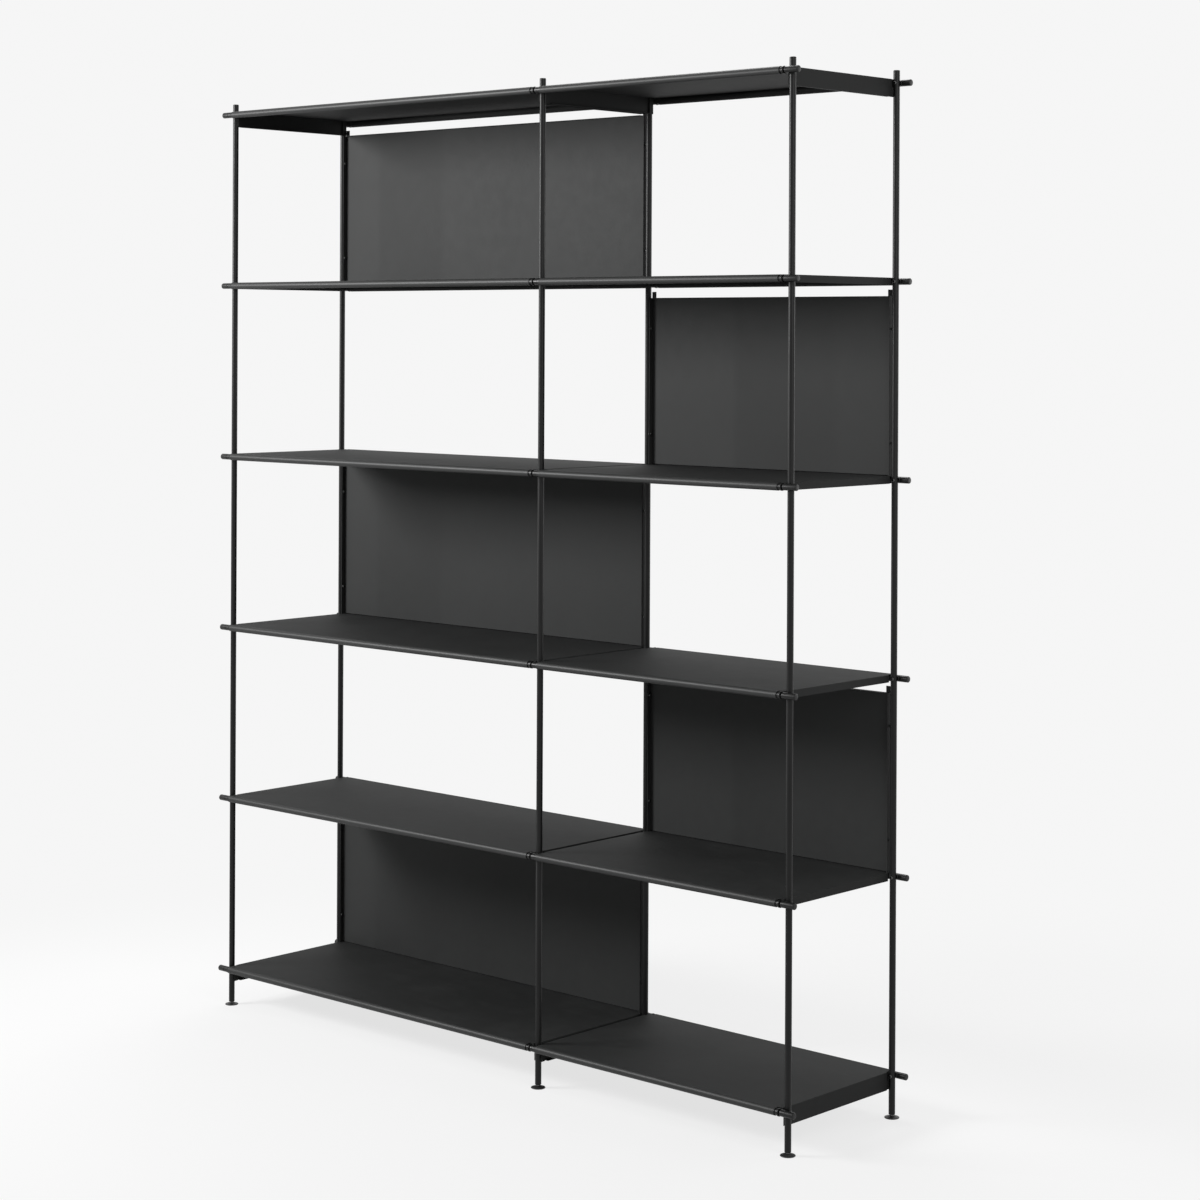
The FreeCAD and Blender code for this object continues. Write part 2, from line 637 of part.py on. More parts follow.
def build_all():
    """Every named piece of the shelving."""
    nodes = []
    columns = (("left", "axis_left"), ("mid", "axis_mid"), ("right", "axis_right"))
    sides_of = {"left": ((), PANELS_LEFT), "mid": (PANELS_LEFT, PANELS_RIGHT), "right": (PANELS_RIGHT, ())}
    for word, along in columns:
        nodes.append(build_upright("upright_front_" + word, along, -1))
        left_panels, right_panels = sides_of[word]
        nodes.append(build_upright("upright_rear_" + word, along, 1, left_panels, right_panels))
    bays = (("left", "bay_left", "(axis_left + axis_mid) / 2"), ("right", "bay_right", "(axis_mid + axis_right) / 2"))
    for word, bay, middle in bays:
        for level in range(1, LEVELS + 1):
            nodes.append(build_tray("shelf_%s_%d" % (word, level), bay, middle, level))
    for compartment in PANELS_LEFT:
        nodes.append(build_panel("back_panel_left_%d" % compartment, "axis_left", "axis_mid", compartment))
    for compartment in PANELS_RIGHT:
        nodes.append(build_panel("back_panel_right_%d" % compartment, "axis_mid", "axis_right", compartment))

    stub = build_stub()
    end_pin = build_end_pin()
    ring = build_ring()
    cap = build_cap()
    for level in range(1, LEVELS + 1):
        up = level_axis(level)
        front = minus("rail_off")
        rear = "rail_off"
        nodes.append(copies("link_stubs_%d" % level, stub, (
            ("axis_left", front, up, 0), ("axis_mid", front, up, 0),
            ("axis_mid", rear, up, 180), ("axis_right", rear, up, 180))))
        nodes.append(copies("end_pins_%d" % level, end_pin, (
            ("axis_right", front, up, 0), ("axis_left", rear, up, 180))))
        nodes.append(copies("socket_rings_%d" % level, ring, (
            ("axis_mid", front, up, 0), ("axis_right", front, up, 0),
            ("axis_left", rear, up, 180), ("axis_mid", rear, up, 180))))
    for word, along, across, turn in (("left", "axis_left", minus("rail_off"), 0),
                                      ("right", "axis_right", "rail_off", 180)):
        spots = [(along, across, level_axis(level), turn) for level in range(1, LEVELS + 1)]
        nodes.append(copies("stub_caps_" + word, cap, spots))

    cross_screw = build_screw("cross_screw_master", "cross_screw")
    panel_screw = build_screw("panel_screw_master", "panel_screw")
    nodes.append(copies("fixing_screws_front", cross_screw, crossing_screws(-1, 0)))
    nodes.append(copies("fixing_screws_rear", cross_screw, crossing_screws(1, 180)))
    nodes.append(copies("panel_screws", panel_screw, panel_screws()))

    pad = build_foot_pad()
    stud = build_stud()
    for side, row in ((-1, "front"), (1, "rear")):
        for word, along in columns:
            spot = ((along, "%d * column_off" % side, "0", 0),)
            nodes.append(copies("foot_pad_%s_%s" % (row, word), pad, spot))
            nodes.append(copies("foot_stud_%s_%s" % (row, word), stud, spot))
    return nodes


def check_all():
    """Stop the build where an object is in error."""
    for item in doc.Objects:
        if "Invalid" in item.State or "Error" in item.State:
            raise RuntimeError("%s is %s" % (item.Name, item.State))


def write_all(nodes):
    """Write one STEP file for each named piece."""
    os.makedirs("parts", exist_ok=True)
    for node in nodes:
        if node.Shape.isNull() or not node.Shape.isValid():
            raise RuntimeError("%s has no valid shape" % node.Label)
        node.Shape.exportStep("parts/%s.step" % node.Label)
        box = node.Shape.BoundBox
        print("%-24s solids %2d volume %10.1f x %8.2f %8.2f y %8.2f %8.2f z %8.2f %8.2f" % (
            node.Label, len(node.Shape.Solids), node.Shape.Volume,
            box.XMin, box.XMax, box.YMin, box.YMax, box.ZMin, box.ZMax))


fill_sheet()
all_nodes = build_all()
doc.recompute()
check_all()
write_all(all_nodes)
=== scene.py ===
import json
import logging
import math
from dataclasses import dataclass
from enum import Enum, IntEnum
from typing import Any, Iterable, NamedTuple, Sequence

import bmesh
import bpy
from mathutils import Matrix, Vector


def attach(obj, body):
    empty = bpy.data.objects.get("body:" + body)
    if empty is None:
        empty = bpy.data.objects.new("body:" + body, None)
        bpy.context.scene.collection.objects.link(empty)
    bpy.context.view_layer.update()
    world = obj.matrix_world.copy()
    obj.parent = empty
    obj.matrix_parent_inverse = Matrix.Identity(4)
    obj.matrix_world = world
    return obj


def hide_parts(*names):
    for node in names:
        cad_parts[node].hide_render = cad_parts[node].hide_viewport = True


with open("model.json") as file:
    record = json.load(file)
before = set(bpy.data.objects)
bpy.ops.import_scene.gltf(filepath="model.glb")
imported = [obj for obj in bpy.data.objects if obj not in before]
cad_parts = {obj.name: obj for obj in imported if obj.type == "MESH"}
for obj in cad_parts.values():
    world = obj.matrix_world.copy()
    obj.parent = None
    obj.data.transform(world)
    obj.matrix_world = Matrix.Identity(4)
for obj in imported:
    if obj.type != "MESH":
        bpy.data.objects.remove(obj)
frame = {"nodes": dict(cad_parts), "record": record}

LOG = logging.getLogger("library_shelving")
MM = 0.001
LEVELS = 6
EVERY_LEVEL = range(1, LEVELS + 1)
WELD = 0.002 * MM
WHITE = (1.0, 1.0, 1.0, 1.0)
GREEN_LIFT = 0.6
# Indices of the Mix node's colour sockets, whose names its other data types share.
MIX_FIRST, MIX_SECOND, MIX_RESULT = 6, 7, 2


# ---- Sizes ----


class Row(IntEnum):
    """A row of uprights, as the sign of its Y."""

    FRONT = -1
    REAR = 1


Crossings = Sequence[tuple[float, Row]]


class PanelledBay(NamedTuple):
    """A bay, the X of the uprights at its sides, and its compartments with a rear panel."""

    word: str
    left: float
    right: float
    compartments: tuple[int, ...]


@dataclass(frozen=True)
class ShelvingSizes:
    """Places and diameters that several sub-assemblies share, in metres."""

    bay_left: float = 900 * MM
    bay_right: float = 600 * MM
    depth: float = 305 * MM
    pitch: float = 362 * MM
    level_low: float = 76 * MM
    upright_dia: float = 12 * MM
    upright_lift: float = 6.5 * MM
    pin_dia: float = 12 * MM
    seat_depth: float = 0.3 * MM
    socket_end: float = 17.5 * MM
    sheet: float = 1 * MM
    panel_side: float = 8.5 * MM
    panel_back: float = 3 * MM
    panel_drop: float = 26.5 * MM

    @property
    def roll_dia(self) -> float:
        """Outside of a tray's curled edge."""
        return self.pin_dia + 2 * self.sheet

    @property
    def panel_high(self) -> float:
        """Height of a rear panel above the tray that it stands on."""
        return self.pitch - self.roll_dia / 2 - self.panel_drop

    @property
    def axis_left(self) -> float:
        """X of the left uprights."""
        return -(self.bay_left + self.bay_right) / 2

    @property
    def axis_mid(self) -> float:
        """X of the middle uprights."""
        return self.axis_left + self.bay_left

    @property
    def axis_right(self) -> float:
        """X of the right uprights."""
        return self.axis_mid + self.bay_right

    @property
    def column_off(self) -> float:
        """Distance of the upright axes from the centre line."""
        return self.depth / 2

    @property
    def rail_off(self) -> float:
        """Distance of the roll axes from the centre line."""
        return self.column_off + self.upright_dia / 2 + self.pin_dia / 2 - self.seat_depth

    @property
    def columns(self) -> tuple[float, float, float]:
        """X of the left, middle and right uprights."""
        return self.axis_left, self.axis_mid, self.axis_right

    @property
    def ring_crossings(self) -> Crossings:
        """Upright X and row of the crossings that have a ring, alike at every level."""
        left, mid, right = self.columns
        return ((mid, Row.FRONT), (right, Row.FRONT), (left, Row.REAR), (mid, Row.REAR))

    @property
    def panelled_bays(self) -> tuple[PanelledBay, PanelledBay]:
        """The bays with their rear panels, which are staggered."""
        left, mid, right = self.columns
        return PanelledBay("left", left, mid, (1, 3, 5)), PanelledBay("right", mid, right, (2, 4))

    def level_axis(self, level: int) -> float:
        """Height of a level's roll axes, for levels 1 at the top to 6."""
        return self.level_low + (LEVELS - level) * self.pitch

    def tray_top(self, compartment: int) -> float:
        """Height of the tray that a compartment stands on, for compartments 1 at the top to 5."""
        return self.level_axis(compartment + 1) + self.roll_dia / 2


SIZES = ShelvingSizes()


# ---- Shader building ----


@dataclass(frozen=True)
class Grain:
    """A fractal noise: features per metre, octaves, strength of the fine ones, and stretch."""

    scale: float
    detail: float
    roughness: float
    stretch: tuple[float, float, float] | None = None


COAT_CLOUDS = Grain(3.5, 3.0, 0.55)
COAT_PATCHES = Grain(38.0, 4.0, 0.6)
COAT_TEXTURE = Grain(900.0, 2.0, 0.6)
TRAY_STREAKS = Grain(1.0, 4.0, 0.62, (14.0, 70.0, 30.0))
TRAY_DUST = Grain(9.0, 5.0, 0.65)
STEEL_STAINS = Grain(260.0, 3.0, 0.6)
TURNING_MARKS = Grain(1.0, 2.0, 0.5, (90.0, 90.0, 2600.0))
NYLON_PEEL = Grain(1400.0, 2.0, 0.5)
NYLON_CLOUDS = Grain(120.0, 3.0, 0.6)


class Value:
    """A number socket that takes part in arithmetic."""

    def __init__(self, graph: "Graph", socket: bpy.types.NodeSocket) -> None:
        """Wraps an output socket of the graph."""
        self.graph = graph
        self.socket = socket

    def _math(self, operation: str, *terms: Any) -> "Value":
        """One Math node.

        Args:
            operation: Blender's name of the operation.
            terms: its inputs in order, each a Value or a number.

        Returns:
            The node's result.
        """
        inputs = dict(enumerate(terms))
        node = self.graph.node("ShaderNodeMath", {"operation": operation}, inputs)
        return Value(self.graph, node.outputs[0])

    def __add__(self, other: Any) -> "Value":
        """self + other."""
        return self._math("ADD", self, other)

    def __radd__(self, other: Any) -> "Value":
        """other + self."""
        return self._math("ADD", other, self)

    def __sub__(self, other: Any) -> "Value":
        """self - other."""
        return self._math("SUBTRACT", self, other)

    def __rsub__(self, other: Any) -> "Value":
        """other - self."""
        return self._math("SUBTRACT", other, self)

    def __mul__(self, other: Any) -> "Value":
        """self * other."""
        return self._math("MULTIPLY", self, other)

    def __rmul__(self, other: Any) -> "Value":
        """other * self."""
        return self._math("MULTIPLY", other, self)

    def __abs__(self) -> "Value":
        """abs(self)."""
        return self._math("ABSOLUTE", self)

    def either(self, other: Any) -> "Value":
        """The greater of self and other."""
        return self._math("MAXIMUM", self, other)

    def above(self, low: float, high: float) -> "Value":
        """0 below low, 1 above high, smooth between.

        Args:
            low: where the ramp starts.
            high: where it ends.

        Returns:
            The mask.
        """
        node = self.graph.node(
            "ShaderNodeMapRange",
            {"interpolation_type": "SMOOTHSTEP"},
            {"Value": self, "From Min": low, "From Max": high, "To Min": 0.0, "To Max": 1.0},
        )
        return Value(self.graph, node.outputs["Result"])


class Graph:
    """The node tree of a material or of the world, with one way to add a node."""

    def __init__(self, owner: Any, output: str) -> None:
        """Empties the owner's node tree and adds its output.

        Args:
            owner: a new material or world.
            output: the output node's type name.
        """
        self.owner = owner
        self.owner.use_nodes = True
        self.tree = owner.node_tree
        self.tree.nodes.clear()
        self.output = self.tree.nodes.new(output)
        self._coordinates: bpy.types.NodeSocket | None = None

    @classmethod
    def of_material(cls, name: str) -> "Graph":
        """The graph of a new material."""
        return cls(bpy.data.materials.new(name), "ShaderNodeOutputMaterial")

    @classmethod
    def of_world(cls, name: str) -> "Graph":
        """The graph of a new world."""
        return cls(bpy.data.worlds.new(name), "ShaderNodeOutputWorld")

    def node(self, kind: str, settings: dict[str, Any] | None = None,
             inputs: dict[Any, Any] | None = None) -> Any:
        """Adds a node.

        Args:
            kind: the node's type name.
            settings: properties of the node, set before its sockets.
            inputs: socket name or index to a number, a colour, a socket or a Value.

        Returns:
            The node.
        """
        made = self.tree.nodes.new(kind)
        for key, setting in (settings or {}).items():
            setattr(made, key, setting)
        for key, given in (inputs or {}).items():
            if isinstance(given, Value):
                given = given.socket
            if isinstance(given, bpy.types.NodeSocket):
                self.tree.links.new(given, made.inputs[key])
            else:
                made.inputs[key].default_value = given
        return made

    @property
    def place(self) -> bpy.types.NodeSocket:
        """Object coordinates, from a node made on first use.

        Returns:
            The vector socket.
        """
        if self._coordinates is None:
            self._coordinates = self.node("ShaderNodeTexCoord").outputs["Object"]
        return self._coordinates

    def component(self, vector: bpy.types.NodeSocket, axis: str) -> Value:
        """The X, Y or Z component of a vector."""
        return Value(self, self.node("ShaderNodeSeparateXYZ", None, {0: vector}).outputs[axis])

    def noise(self, grain: Grain) -> Value:
        """Fractal noise from 0 to 1 on object coordinates.

        Args:
            grain: its scale, octaves and stretch.

        Returns:
            The noise.
        """
        vector = self.place
        if grain.stretch:
            inputs = {"Vector": vector, "Scale": grain.stretch}
            vector = self.node("ShaderNodeMapping", None, inputs).outputs["Vector"]
        node = self.node("ShaderNodeTexNoise", None, {
            "Vector": vector,
            "Scale": grain.scale,
            "Detail": grain.detail,
            "Roughness": grain.roughness,
        })
        return Value(self, node.outputs[0])

    def blend_colours(self, factor: Any, first: Any, second: Any) -> bpy.types.NodeSocket:
        """The mix of two colours or sockets, the first at factor 0 and the second at 1."""
        inputs = {0: factor, MIX_FIRST: first, MIX_SECOND: second}
        return self.node("ShaderNodeMix", {"data_type": "RGBA"}, inputs).outputs[MIX_RESULT]

    def blend_shaders(self, factor: Any, first: bpy.types.Node, second: bpy.types.Node) -> Any:
        """A Mix Shader node, the first shader at factor 0 and the second at 1."""
        inputs = {0: factor, 1: first.outputs[0], 2: second.outputs[0]}
        return self.node("ShaderNodeMixShader", None, inputs)

    def bump(self, height: Value, distance: float) -> bpy.types.NodeSocket:
        """The normal over a height field, where 1 stands a distance in metres high."""
        inputs = {"Height": height, "Distance": distance, "Strength": 1.0}
        return self.node("ShaderNodeBump", None, inputs).outputs["Normal"]

    def looked_at(self) -> Value:
        """Tells the rays that see a surface from those that light the object.

        Returns:
            1 for rays of the camera, of gloss and of glass, 0 for the others.
        """
        path = self.node("ShaderNodeLightPath").outputs
        shown = Value(self, path["Is Camera Ray"]).either(Value(self, path["Is Glossy Ray"]))
        return shown.either(Value(self, path["Is Transmission Ray"]))

    def close(self, shader: bpy.types.Node) -> Any:
        """Joins a shader to the output and returns the finished material or world."""
        self.tree.links.new(shader.outputs[0], self.output.inputs["Surface"])
        return self.owner


def grey(level: float, green: float = 0.0) -> tuple[float, float, float, float]:
    """A neutral linear colour with a touch of green."""
    return (level * (1 - green), level * (1 + green * GREEN_LIFT), level, 1.0)


# ---- Finishes ----


@dataclass(frozen=True)
class PowderCoat:
    """Fine textured powder coat on sheet steel and bar.

    A band is the pair of values between which a mask rises from 0 to 1. The gloss band is
    counted in radii of the roll, from its axis outward.
    """

    name: str
    level: float
    roughness: float
    shine: float
    cloud: float
    smears: float = 0.0
    roll_gloss: float = 0.0
    roll_haze: float = 0.42
    gloss_band: tuple[float, float] = (-0.2, 0.6)
    green: float = 0.015
    swing: float = 1.6
    cloud_share: float = 1.2
    patch_share: float = 0.8
    patch_rough: float = 0.10
    texture_high: float = 0.012 * MM
    flat_band: tuple[float, float] = (0.75, 0.95)
    streak_band: tuple[float, float] = (0.52, 0.72)
    streak_share: float = 0.55
    dust_band: tuple[float, float] = (0.42, 0.75)
    dust_share: float = 0.65
    smear_pale: float = 1.7
    smear_rough: float = 0.12

    def _smear_mask(self, graph: Graph) -> Value:
        """Rubbed streaks and dust where the surface lies flat.

        Args:
            graph: the material's graph.

        Returns:
            The mask.
        """
        normal = graph.node("ShaderNodeNewGeometry").outputs["Normal"]
        flat = graph.component(normal, "Z").above(*self.flat_band)
        streaks = graph.noise(TRAY_STREAKS).above(*self.streak_band)
        dust = graph.noise(TRAY_DUST).above(*self.dust_band)
        return flat * (streaks * self.streak_share + dust * self.dust_share) * self.smears

    def _roll_mask(self, graph: Graph) -> Value:
        """The outer half of the rolls along the trays' edges.

        Args:
            graph: the material's graph.

        Returns:
            The mask.
        """
        roll = SIZES.roll_dia / 2
        low, high = (SIZES.rail_off + share * roll for share in self.gloss_band)
        return abs(graph.component(graph.place, "Y")).above(low, high)

    def make(self) -> bpy.types.Material:
        """Builds the material: colour clouds, fine texture, smears and glossier rolls.

        Returns:
            The material.
        """
        graph = Graph.of_material(self.name)
        clouds = graph.noise(COAT_CLOUDS)
        patches = graph.noise(COAT_PATCHES)
        mottle = (clouds - 0.5) * self.cloud_share + (patches - 0.5) * self.patch_share + 0.5
        darker = grey(self.level * (1 - self.cloud * self.swing), self.green)
        lighter = grey(self.level * (1 + self.cloud * self.swing), self.green)
        colour = graph.blend_colours(mottle, darker, lighter)
        rough = self.roughness + (patches - 0.5) * self.patch_rough
        if self.smears > 0:
            mask = self._smear_mask(graph)
            pale = grey(self.level * self.smear_pale, self.green)
            colour = graph.blend_colours(mask, colour, pale)
            rough = rough + mask * self.smear_rough
        sockets = {
            "Base Color": colour,
            "Roughness": rough,
            "Metallic": 0.0,
            "Specular IOR Level": self.shine,
            "Normal": graph.bump(graph.noise(COAT_TEXTURE), self.texture_high),
        }
        if self.roll_gloss > 0:
            sockets["Coat Weight"] = self._roll_mask(graph) * self.roll_gloss
            sockets["Coat Roughness"] = self.roll_haze
        return graph.close(graph.node("ShaderNodeBsdfPrincipled", None, sockets))


@dataclass(frozen=True)
class PlatedSteel:
    """Zinc plated or blackened turned steel."""

    name: str
    level: float
    roughness: float
    stain_dark: float = 0.8
    stain_bright: float = 1.15
    stain_rough: float = 0.12
    mark_high: float = 0.006 * MM

    def make(self) -> bpy.types.Material:
        """Builds the material: turning marks along Z and small cloudy stains.

        Returns:
            The material.
        """
        graph = Graph.of_material(self.name)
        stains = graph.noise(STEEL_STAINS)
        dark = grey(self.level * self.stain_dark)
        bright = grey(self.level * self.stain_bright)
        return graph.close(graph.node("ShaderNodeBsdfPrincipled", None, {
            "Base Color": graph.blend_colours(stains, dark, bright),
            "Roughness": self.roughness + (stains - 0.5) * self.stain_rough,
            "Metallic": 1.0,
            "Normal": graph.bump(graph.noise(TURNING_MARKS), self.mark_high),
        }))


@dataclass(frozen=True)
class MouldedNylon:
    """Moulded nylon with a slight orange peel."""

    name: str
    level: float
    roughness: float
    scuff_band: tuple[float, float] = (0.2 * MM, 1.6 * MM)
    scuff_share: float = 0.5
    scuff_pale: float = 2.2
    cloud_rough: float = 0.15
    peel_high: float = 0.01 * MM

    def make(self) -> bpy.types.Material:
        """Builds the material: fine pebbling and a scuffed rim near the floor.

        Returns:
            The material.
        """
        graph = Graph.of_material(self.name)
        clouds = graph.noise(NYLON_CLOUDS)
        scuffs = (1 - graph.component(graph.place, "Z").above(*self.scuff_band)) * clouds
        plain, pale = grey(self.level), grey(self.level * self.scuff_pale)
        return graph.close(graph.node("ShaderNodeBsdfPrincipled", None, {
            "Base Color": graph.blend_colours(scuffs * self.scuff_share, plain, pale),
            "Roughness": self.roughness + (clouds - 0.5) * self.cloud_rough,
            "Normal": graph.bump(graph.noise(NYLON_PEEL), self.peel_high),
        }))


Recipe = PowderCoat | PlatedSteel | MouldedNylon


class Finish(Enum):
    """The finishes of the shelving, each with the record's slot that it belongs to."""

    UPRIGHT = ("upright_coat", PowderCoat(
        "upright_powder_coat", level=0.008, roughness=0.38, shine=0.22, cloud=0.06))
    TRAY = ("tray_coat", PowderCoat(
        "tray_powder_coat", level=0.026, roughness=0.66, shine=0.09, cloud=0.12, smears=0.6,
        roll_gloss=0.42))
    PANEL = ("panel_coat", PowderCoat(
        "panel_powder_coat", level=0.036, roughness=0.58, shine=0.15, cloud=0.08))
    PIN = ("pin_coat", PowderCoat(
        "pin_powder_coat", level=0.008, roughness=0.34, shine=0.26, cloud=0.05))
    RING = ("ring_coat", PowderCoat(
        "ring_powder_coat", level=0.008, roughness=0.34, shine=0.26, cloud=0.05))
    SCREW = ("screw_steel", PlatedSteel("blackened_screw", level=0.10, roughness=0.38))
    PAD = ("pad_plastic", MouldedNylon("pad_nylon", level=0.018, roughness=0.45))
    STUD = ("stud_zinc", PlatedSteel("zinc_stud", level=0.42, roughness=0.32))

    def __init__(self, slot: str, recipe: Recipe) -> None:
        """Keeps the slot's name and the recipe."""
        self.slot = slot
        self.recipe = recipe


class FinishShop:
    """Makes each finish once and puts it on pieces and CAD nodes."""

    def __init__(self) -> None:
        """Starts with no material made."""
        self._made: dict[Finish, bpy.types.Material] = {}

    def material(self, finish: Finish) -> bpy.types.Material:
        """The material of a finish, made on first use.

        Args:
            finish: the finish.

        Returns:
            Its material.
        """
        if finish not in self._made:
            self._made[finish] = finish.recipe.make()
        return self._made[finish]

    def coat(self, piece: bpy.types.Object, finish: Finish) -> None:
        """Puts a finish on a new piece.

        Args:
            piece: the piece.
            finish: its finish.
        """
        piece.data.materials.clear()
        piece.data.materials.append(self.material(finish))

    def coat_nodes(self) -> None:
        """Gives every CAD node the finish of its record slot."""
        by_slot = {finish.slot: finish for finish in Finish}
        slots = {entry["node"]: entry["material_slot"] for entry in frame["record"]["subparts"]}
        for name, node in frame["nodes"].items():
            finish = by_slot[slots[name]]
            for holder in node.material_slots:
                holder.material = self.material(finish)


# ---- Mesh building ----


def edges_at(verts: Iterable[Any]) -> list[Any]:
    """The edges that meet vertices, each once."""
    return list({edge for vert in verts for edge in vert.link_edges})


def face_outward(bm: bmesh.types.BMesh, verts: Iterable[Any]) -> None:
    """Turns the faces that meet vertices outward."""
    faces = list({face for vert in verts for face in vert.link_faces})
    bmesh.ops.recalc_face_normals(bm, faces=faces)


def add_block(bm: bmesh.types.BMesh, middle: Sequence[float], size: Sequence[float]) -> None:
    """Adds a block to a mesh, from its middle and its length along X, Y and Z."""
    scale = Matrix.Diagonal((*size, 1.0))
    bmesh.ops.create_cube(bm, size=1.0, matrix=Matrix.Translation(middle) @ scale)


def mesh_from(name: str, bm: bmesh.types.BMesh) -> bpy.types.Mesh:
    """Moves a bmesh into a new mesh.

    Args:
        name: the mesh's name.
        bm: the bmesh, freed here.

    Returns:
        The mesh.
    """
    mesh = bpy.data.meshes.new(name)
    bm.to_mesh(mesh)
    bm.free()
    return mesh


def add_object(name: str, data: bpy.types.ID) -> bpy.types.Object:
    """Adds an object to the scene.

    Args:
        name: the object's name.
        data: its mesh, camera or lamp.

    Returns:
        The object.
    """
    made = bpy.data.objects.new(name, data)
    bpy.context.scene.collection.objects.link(made)
    return made


class Corner(NamedTuple):
    """A corner of a turned profile: distance along the axis, radius, and its rounding."""

    along: float
    radius: float
    rounding: float = 0.0


class Turner:
    """Turns profiles into round pieces and collects them in one mesh."""

    def __init__(self, steps: int = 40) -> None:
        """Starts an empty mesh, with the segments that a full turn gets."""
        self.bm = bmesh.new()
        self.steps = steps

    def turn(self, profile: Sequence[Corner], segments: int = 4) -> list[Any]:
        """Spins a profile about the X axis.

        Args:
            profile: its corners, in order.
            segments: facets of each rounding.

        Returns:
            The new vertices.
        """
        before = set(self.bm.verts)
        drawn = [self.bm.verts.new((corner.along, 0.0, corner.radius)) for corner in profile]
        for pair in zip(drawn, drawn[1:]):
            self.bm.edges.new(pair)
        for vert, corner in zip(drawn, profile):
            if corner.rounding > 0:
                bmesh.ops.bevel(self.bm, geom=[vert], offset=corner.rounding,
                                offset_type="OFFSET", segments=segments, profile=0.5,
                                affect="VERTICES", clamp_overlap=True, material=-1)
        wire = [vert for vert in self.bm.verts if vert not in before]
        bmesh.ops.spin(self.bm, geom=wire + edges_at(wire), cent=(0, 0, 0), axis=(1, 0, 0),
                       dvec=(0, 0, 0), angle=2 * math.pi, steps=self.steps, use_merge=True,
                       use_duplicate=False)
        made = [vert for vert in self.bm.verts if vert not in before]
        bmesh.ops.remove_doubles(self.bm, verts=made, dist=WELD)
        made = [vert for vert in self.bm.verts if vert not in before]
        face_outward(self.bm, made)
        return made

    def move(self, verts: Iterable[Any], matrix: Matrix) -> None:
        """Moves vertices by a matrix."""
        bmesh.ops.transform(self.bm, matrix=matrix, verts=list(verts))


class Bench:
    """Turns a bmesh into a finished piece that rides on a body."""

    def __init__(self, shop: FinishShop) -> None:
        """Keeps the finishes."""
        self.shop = shop

    def finish(self, name: str, bm: bmesh.types.BMesh, finish: Finish, nodes: Sequence[str] = (),
               body: str = "shelving", sharp: float = 32.0) -> None:
        """Makes the object, shades it, and lets it stand for its CAD nodes.

        Args:
            name: the piece's name.
            bm: its mesh, freed here.
            finish: its finish.
            nodes: the CAD nodes that it stands for.
            body: the body that it rides on.
            sharp: edges sharper than this angle in degrees stay sharp.
        """
        limit = math.radians(sharp)
        for edge in bm.edges:
            edge.smooth = not (len(edge.link_faces) == 2 and edge.calc_face_angle(0.0) > limit)
        for face in bm.faces:
            face.smooth = True
        piece = add_object(name, mesh_from(name, bm))
        self.shop.coat(piece, finish)
        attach(piece, body)
        if nodes:
            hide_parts(*nodes)
        LOG.info("%s: %d faces", name, len(piece.data.polygons))


# ---- Sub-assemblies ----


